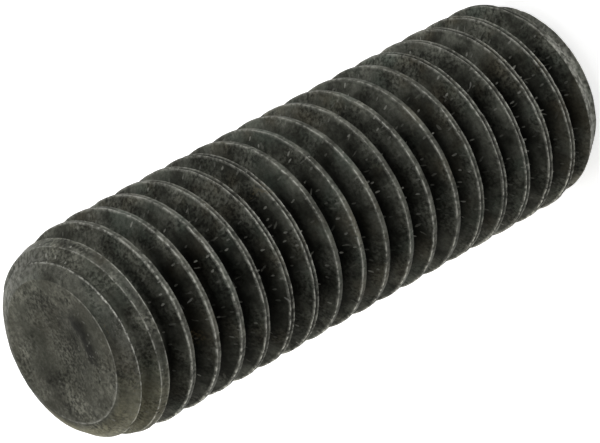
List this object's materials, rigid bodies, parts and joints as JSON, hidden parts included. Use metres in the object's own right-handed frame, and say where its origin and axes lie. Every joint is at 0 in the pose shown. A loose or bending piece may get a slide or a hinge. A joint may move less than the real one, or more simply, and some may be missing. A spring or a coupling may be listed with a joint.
{
  "type": "headless adjusting bolt",
  "caption": "Headless fully threaded adjusting bolt in blackened steel: a grub screw with a chamfered flat point at one end and a hexagon socket at the other.",
  "frame": {"origin": "centre of the socket end's flat ring, on the bolt's axis, which is the plane the bolt stands on", "axes": "+Z along the bolt's axis, from the socket end up to the flat point; +X where the crest of the thread crosses the plane of the socket end"},
  "size_m": [0.0098, 0.0098, 0.0297],
  "materials": {
    "blackened_steel": "black oxide, satin to matt, with worn thread crests"
  },
  "bodies": {
    "root": {"bolt": "blackened_steel"}
  },
  "joints": []
}
